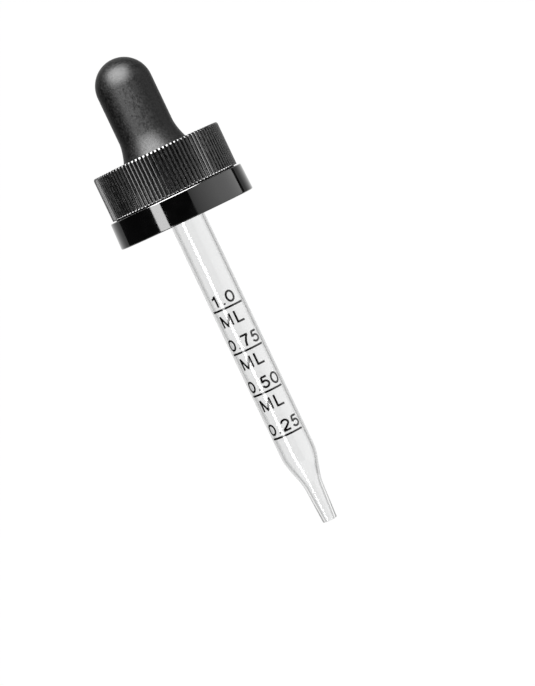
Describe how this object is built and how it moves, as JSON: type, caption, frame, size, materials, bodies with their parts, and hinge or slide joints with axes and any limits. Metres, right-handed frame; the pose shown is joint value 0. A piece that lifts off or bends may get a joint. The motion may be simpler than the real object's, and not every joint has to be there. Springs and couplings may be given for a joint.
{
  "type": "medicine dropper",
  "caption": "Graduated glass dropper with a soft rubber bulb and a ribbed push-and-turn screw closure with a tamper-evident ring.",
  "frame": {"origin": "on the dropper's axis, in the plane where the bottle's lip seals against the flange of the rubber bulb", "axes": "+Z along the axis, from the glass tip towards the bulb; +X and -X are the two sides of the bulb that are squeezed; the printed scale faces -Y"},
  "size_m": [0.028, 0.028, 0.0983],
  "materials": {
    "bulb_rubber": "soft matte black",
    "cap_ribbed": "satin black with fine moulded ribs",
    "cap_inner": "satin black",
    "ring_gloss": "polished black",
    "pipette_glass": "clear drawn glass",
    "scale_ink": "black screen-printed ink"
  },
  "bodies": {
    "closure": {"inner_cap": "cap_inner", "rubber_bulb": "bulb_rubber", "glass_pipette": "pipette_glass"},
    "spring": {"spring_fingers": "cap_inner"},
    "outer_cap": {"outer_cap": "cap_ribbed"},
    "left_wall": {"bulb_wall_left": "bulb_rubber"},
    "right_wall": {"bulb_wall_right": "bulb_rubber"},
    "tamper_ring": {"tamper_ring": "ring_gloss", "tamper_bridge_1": "ring_gloss", "tamper_bridge_2": "ring_gloss", "tamper_bridge_3": "ring_gloss", "tamper_bridge_4": "ring_gloss", "tamper_bridge_5": "ring_gloss", "tamper_bridge_6": "ring_gloss", "tamper_bridge_7": "ring_gloss", "tamper_bridge_8": "ring_gloss"}
  },
  "joints": [
    {"name": "cap_press", "type": "slide", "parent": "closure", "child": "spring", "axis": [0, 0, -1], "range_m": [0, 0.0011], "stiffness_N_per_m": 4000, "deforming": ["spring_fingers"]},
    {"name": "cap_turn", "type": "hinge", "parent": "spring", "child": "outer_cap", "pos_m": [0, 0, 0], "axis": [0, 0, 1], "continuous": true},
    {"name": "bulb_squeeze", "type": "slide", "parent": "closure", "child": "left_wall", "axis": [1, 0, 0], "range_m": [0, 0.0034], "stiffness_N_per_m": 600},
    {"name": "bulb_squeeze_right", "type": "slide", "parent": "closure", "child": "right_wall", "axis": [-1, 0, 0], "range_m": [0, 0.0034], "stiffness_N_per_m": 600},
    {"name": "ring_release", "type": "slide", "parent": "closure", "child": "tamper_ring", "axis": [0, 0, -1], "range_m": [0, 0.01]}
  ],
  "couplings": [
    {"joint": "bulb_squeeze_right", "follows": "bulb_squeeze", "ratio": 1}
  ]
}
